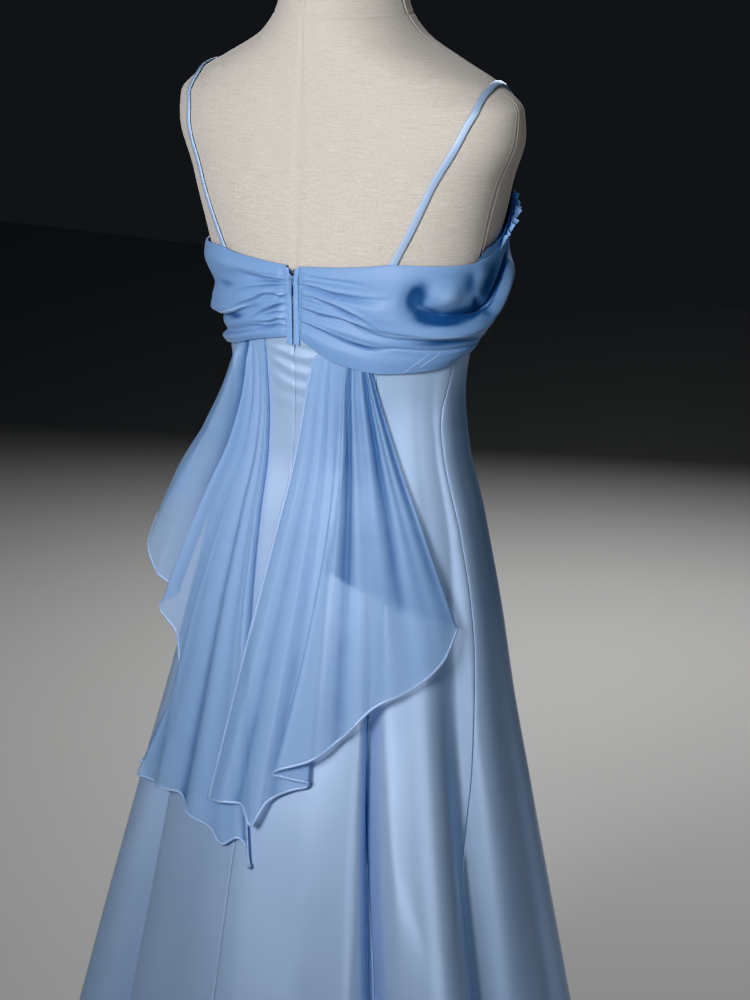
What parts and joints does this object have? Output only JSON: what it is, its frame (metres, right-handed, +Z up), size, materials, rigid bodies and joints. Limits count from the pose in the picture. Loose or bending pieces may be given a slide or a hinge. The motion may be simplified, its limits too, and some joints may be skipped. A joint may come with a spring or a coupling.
{
  "type": "evening gown on limbless dress form",
  "caption": "Floor-length satin princess-seam gown with a gathered chiffon drape and two sheer back tails, zipped at the back, on a limbless dress form with a round stand.",
  "frame": {"origin": "centre of the stand's underside, on the floor", "axes": "+Z up, -Y the gown's front, +Y its back, +X the wearer's left"},
  "size_m": [0.6774, 0.6281, 1.56],
  "materials": {
    "ice_blue_satin": "satin",
    "cornflower_chiffon": "sheer",
    "cream_linen": "plain weave",
    "grey_painted_steel": "satin",
    "chromed_tube": "polished",
    "blue_zip_tape": "matt",
    "blue_enamelled_metal": "semi-gloss"
  },
  "bodies": {
    "gown_on_form": {"chiffon_drape_left": "cornflower_chiffon", "chiffon_drape_right": "cornflower_chiffon", "chiffon_ruffle_left": "cornflower_chiffon", "chiffon_ruffle_right": "cornflower_chiffon", "chiffon_strip_left": "cornflower_chiffon", "chiffon_strip_right": "cornflower_chiffon", "chiffon_tail_left": "cornflower_chiffon", "chiffon_tail_right": "cornflower_chiffon", "form_torso": "cream_linen", "satin_back_left": "ice_blue_satin", "satin_back_right": "ice_blue_satin", "satin_front": "ice_blue_satin", "satin_side_back_left": "ice_blue_satin", "satin_side_back_right": "ice_blue_satin", "satin_side_front_left": "ice_blue_satin", "satin_side_front_right": "ice_blue_satin", "stand_base": "grey_painted_steel", "stand_collar": "grey_painted_steel", "stand_pole": "chromed_tube", "strap_left": "ice_blue_satin", "strap_right": "ice_blue_satin", "zip_coils": "blue_zip_tape", "zip_slider": "blue_enamelled_metal"},
    "pull_tab": {"zip_pull_tab": "blue_enamelled_metal"}
  },
  "joints": [
    {"name": "pull_tab_swing", "type": "hinge", "parent": "gown_on_form", "child": "pull_tab", "pos_m": [0, 0.0991, 1.2445], "axis": [1, 0, 0], "range_deg": [0, 150]}
  ]
}
